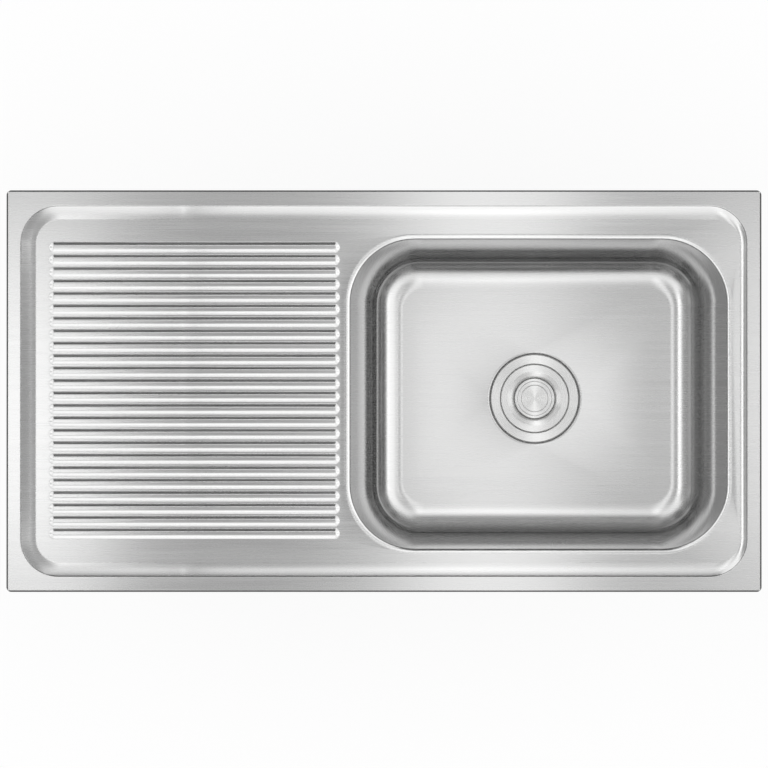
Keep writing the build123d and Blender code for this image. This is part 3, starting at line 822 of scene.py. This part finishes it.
def makeBasketRim():
    bm = bmesh.new()
    k = basket
    section = [
        (k["rim"], basketZ - k["lip"] * mm), (k["rim"], basketZ), (k["cone"], basketZ),
        *[(radius, basketZ - drop * mm) for radius, drop in k["dish"]],
        (k["foot"], basketZ - k["coneDepth"] * mm),
    ]
    addSection(bm, section, k["rounding"])
    turn(bm)
    faceUp(bm)
    rim = addPiece("basket_rim", bm, ["basket_cup"])
    addWall(rim, k["sheet"] * mm)
    addSmoothing(rim)


def makeKnob():
    bm = bmesh.new()
    k = knob
    inside = k["radius"] - k["land"]
    land = knobHigh - k["dip"] * mm
    well = land - k["wellDepth"] * mm
    under = well - k["sheet"] * mm
    section = [
        (k["radius"], knobLow + k["skirtLift"] * mm), (k["radius"], knobHigh), (inside, knobHigh),
        (inside - k["dip"], land), (k["well"], land), (k["well"] - k["wellDepth"] / 2, well), (0, well),
    ]
    addSection(bm, section, k["rounding"])
    turn(bm)
    faceUp(bm)
    cap = addPiece("knob_cap_turned", bm, ["knob_cap"])
    addWall(cap, k["sheet"] * mm)
    addSmoothing(cap)


makeWasteBody()
makeTail()
makeBasketRim()
makeKnob()
copyNode("basket_cup", "basket_cup_holes", 0.1, below=basketZ - basket["holesBelow"] * mm)
print("waste made")

# clips and everything below
stud = {"radius": 3.0, "root": 2.45, "pitch": 1.0, "plate": 1.5, "steps": 14}
studLow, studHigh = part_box("clip_studs")


def addStudThreads(bm):
    for place in record["behaviour"]["joints"]:
        if not place["name"].endswith("_swing"):
            continue
        centre = Vector(place["pos_m"])
        addThread(
            bm, centre, studHigh.z - stud["plate"] * mm, studLow.z, stud["radius"] * mm,
            stud["root"] * mm, stud["pitch"] * mm, stud["steps"],
        )
        bmesh.ops.create_circle(
            bm, cap_ends=True, radius=stud["root"] * mm, segments=stud["steps"],
            matrix=Matrix.Translation((centre.x, centre.y, studLow.z + stud["pitch"] / 2 * mm)),
        )


copyNode(
    "clip_studs", "clip_stud_plates", 0.25,
    above=studHigh.z - stud["plate"] * mm - hair, extra=addStudThreads,
)
softened = {
    "stiffener_left": 0.5, "stiffener_right": 0.5, "sound_pad_left": 0.6, "sound_pad_right": 0.6,
    "rim_seal": 0.4, "flange_gasket": 0.2, "bowl_gasket": 0.4, "friction_ring": 0.2, "backnut": 0.6,
    "outlet_cross": 0.3, "post_catch": 0.15, "basket_post": 0.2, "knob_boss": 0.3, "stopper_seal": 0.5,
    "stopper_plate": 0.3, "post_nut": 0.25,
}
for node in sorted(nodes):
    if node.startswith("clip_nut_"):
        softened[node] = 0.3
    elif node.startswith("clip_claw_"):
        softened[node] = 0.35
for node, width in softened.items():
    copyNode(node, node + "_finished", width)
print("lower pieces made")

# floor, camera, light
studio = {
    "floorHalf": 9.0, "floorColour": (0.9, 0.9, 0.9), "floorGap": 0.0005, "shadowShare": 0.15,
    "lens": 489.5, "sensor": 36, "distance": 13.0, "elevation": 89.3, "aimX": 0.0, "aimY": 0.0088,
    "stripHeight": 1.0,
}


def makeFloor():
    bm = bmesh.new()
    bmesh.ops.create_grid(
        bm, x_segments=1, y_segments=1, size=studio["floorHalf"],
        matrix=Matrix.Translation((0, 0, cadBox[0].z - studio["floorGap"])),
    )
    mesh = bpy.data.meshes.new("floor")
    bm.to_mesh(mesh)
    bm.free()
    floor = bpy.data.objects.new("floor", mesh)
    bpy.context.scene.collection.objects.link(floor)
    material = bpy.data.materials.new("paleFloor")
    material.use_nodes = True
    tree = material.node_tree
    tree.nodes.clear()
    matt = addNode(tree, "ShaderNodeBsdfDiffuse", {"Color": (*studio["floorColour"], 1)})
    white = addNode(tree, "ShaderNodeEmission", {"Color": (1, 1, 1, 1), "Strength": 1.0})
    path = addNode(tree, "ShaderNodeLightPath")
    seen = mathNode(tree, "MAXIMUM", path.outputs["Is Camera Ray"], path.outputs["Is Glossy Ray"])
    seen = mathNode(tree, "MAXIMUM", seen, path.outputs["Is Transmission Ray"])
    share = mathNode(tree, "MULTIPLY", seen, 1 - studio["shadowShare"])
    mixed = addNode(tree, "ShaderNodeMixShader", {0: share, 1: matt.outputs[0], 2: white.outputs[0]})
    # clear from below, so that the underside can be looked at
    under = addNode(tree, "ShaderNodeNewGeometry").outputs["Backfacing"]
    clear = addNode(tree, "ShaderNodeBsdfTransparent")
    oneSided = addNode(tree, "ShaderNodeMixShader", {0: under, 1: mixed.outputs[0], 2: clear.outputs[0]})
    output = addNode(tree, "ShaderNodeOutputMaterial")
    tree.links.new(oneSided.outputs[0], output.inputs["Surface"])
    mesh.materials.append(material)


def makeCamera():
    data = bpy.data.cameras.new("camera")
    data.lens = studio["lens"]
    data.sensor_width = studio["sensor"]
    data.clip_end = 100
    camera = bpy.data.objects.new("camera", data)
    bpy.context.scene.collection.objects.link(camera)
    aim = Vector((studio["aimX"], studio["aimY"], rimZ))
    tilt = radians(studio["elevation"])
    back = Vector((0, -cos(tilt), sin(tilt)))
    camera.location = aim + back * studio["distance"]
    camera.rotation_euler = (-back).to_track_quat("-Z", "Y").to_euler()
    bpy.context.scene.camera = camera


strips = (
    # place along X and Y, width, length, brightness
    (-0.49, -0.03, 0.26, 0.5, 1.2),
    (0.14, 0.1, 0.24, 1.8, 0.75),
    (0.52, 0.0, 0.12, 0.5, 1.0),
)


def makeLights():
    for index, (x, y, width, length, brightness) in enumerate(strips):
        data = bpy.data.lights.new(f"strip{index}", "AREA")
        data.shape = "RECTANGLE"
        data.size = width
        data.size_y = length
        data.energy = brightness * pi * width * length
        lamp = bpy.data.objects.new(data.name, data)
        lamp.location = (x, y, studio["stripHeight"])
        lamp.visible_camera = False
        bpy.context.scene.collection.objects.link(lamp)


cards = (
    # grey cards seen only in reflections: middle, width, length, turn about Y, brightness
    ((-0.225, 0.0, 0.95), 0.29, 0.56, 0, 0.42),
    ((-0.25, 0.0, 0.24), 0.32, 0.44, 90, 0.42),
)


def makeCards():
    for index, (middle, width, length, turned, brightness) in enumerate(cards):
        bm = bmesh.new()
        bmesh.ops.create_grid(
            bm, x_segments=1, y_segments=1, size=0.5,
            matrix=Matrix.Translation(middle) @ Matrix.Rotation(radians(turned), 4, "Y")
            @ Matrix.Diagonal((width, length, 1, 1)),
        )
        mesh = bpy.data.meshes.new(f"card{index}")
        bm.to_mesh(mesh)
        bm.free()
        piece = bpy.data.objects.new(mesh.name, mesh)
        bpy.context.scene.collection.objects.link(piece)
        material = bpy.data.materials.new(f"cardGrey{index}")
        material.use_nodes = True
        tree = material.node_tree
        tree.nodes.clear()
        glow = addNode(tree, "ShaderNodeEmission", {"Color": (1, 1, 1, 1), "Strength": brightness})
        output = addNode(tree, "ShaderNodeOutputMaterial")
        tree.links.new(glow.outputs[0], output.inputs["Surface"])
        mesh.materials.append(material)
        piece.visible_camera = False
        piece.visible_diffuse = False
        piece.visible_shadow = False


sky = {
    "zenith": 0.58, "ringEnds": 1.25, "ringSides": 1.5, "ringFrom": 0.84, "ringTo": 0.93,
    "ringCorners": 0.6, "cornerBand": (0.1, 0.5), "cornersFrom": 0.7, "cornersTo": 0.82,
    "reachFull": 0.6,
    # direction, where it starts and is full, brightness, how far it reaches to its sides
    "sides": (
        ((0, 1, 0), 0.72, 0.84, 0.03, 0.3),
        ((0, -1, 0), 0.8, 0.92, 1.7, 0.3),
        ((-1, 0, 0), 0.78, 0.85, 1.9, 0.6),
        ((-1, 0, 0), 0.89, 0.94, 0.7, 0.6),
        ((1, 0, 0), 0.78, 0.85, 1.9, 0.6),
        ((1, 0, 0), 0.89, 0.94, 1.1, 0.6),
    ),
}


def makeSky():
    world = bpy.data.worlds.new("studio")
    bpy.context.scene.world = world
    world.use_nodes = True
    tree = world.node_tree
    tree.nodes.clear()
    direction = addNode(tree, "ShaderNodeTexCoord").outputs["Generated"]
    x, y, upright = addNode(tree, "ShaderNodeSeparateXYZ", {0: direction}).outputs
    # the ring is brightest at the left and right, and dimmer towards its four corners
    around = mathNode(tree, "SUBTRACT", 1.0, mathNode(tree, "MULTIPLY", upright, upright))
    around = mathNode(tree, "MAXIMUM", around, 0.001)
    sideways = mathNode(tree, "DIVIDE", mathNode(tree, "MULTIPLY", x, x), around)
    corner = mathNode(tree, "DIVIDE", mathNode(tree, "ABSOLUTE", mathNode(tree, "MULTIPLY", x, y)), around)
    ring = spread(tree, sideways, 0, 1, sky["ringEnds"], sky["ringSides"])
    corner = spread(tree, corner, *sky["cornerBand"], 0, sky["ringCorners"], smooth=True)
    high = spread(tree, upright, sky["cornersFrom"], sky["cornersTo"], smooth=True)
    lost = mathNode(tree, "MULTIPLY", corner, high)
    ring = mathNode(tree, "MULTIPLY", ring, mathNode(tree, "SUBTRACT", 1.0, lost))
    share = spread(tree, upright, sky["ringFrom"], sky["ringTo"], smooth=True)
    level = addNode(tree, "ShaderNodeMix", {0: share, 2: ring, 3: sky["zenith"]}).outputs[0]
    for side, start, full, brightness, reach in sky["sides"]:
        towards = vectorNode(tree, "DOT_PRODUCT", direction, side, output="Value")
        beside = vectorNode(tree, "DOT_PRODUCT", direction, (side[1], side[0], 0), output="Value")
        aside = mathNode(tree, "ABSOLUTE", beside)
        kept = spread(tree, aside, reach * sky["reachFull"], reach, 1, 0, smooth=True)
        share = mathNode(tree, "MULTIPLY", spread(tree, towards, start, full, smooth=True), kept)
        level = addNode(tree, "ShaderNodeMix", {0: share, 2: level, 3: brightness}).outputs[0]
    path = addNode(tree, "ShaderNodeLightPath")
    seen = addNode(tree, "ShaderNodeMix", {0: path.outputs["Is Camera Ray"], 2: level, 3: 1.0}).outputs[0]
    background = addNode(tree, "ShaderNodeBackground", {"Color": (1, 1, 1, 1), "Strength": seen})
    output = addNode(tree, "ShaderNodeOutputWorld")
    tree.links.new(background.outputs[0], output.inputs["Surface"])


makeFloor()
makeCamera()
makeLights()
makeCards()
makeSky()
bpy.context.scene.view_settings.view_transform = "Standard"
print("studio made")
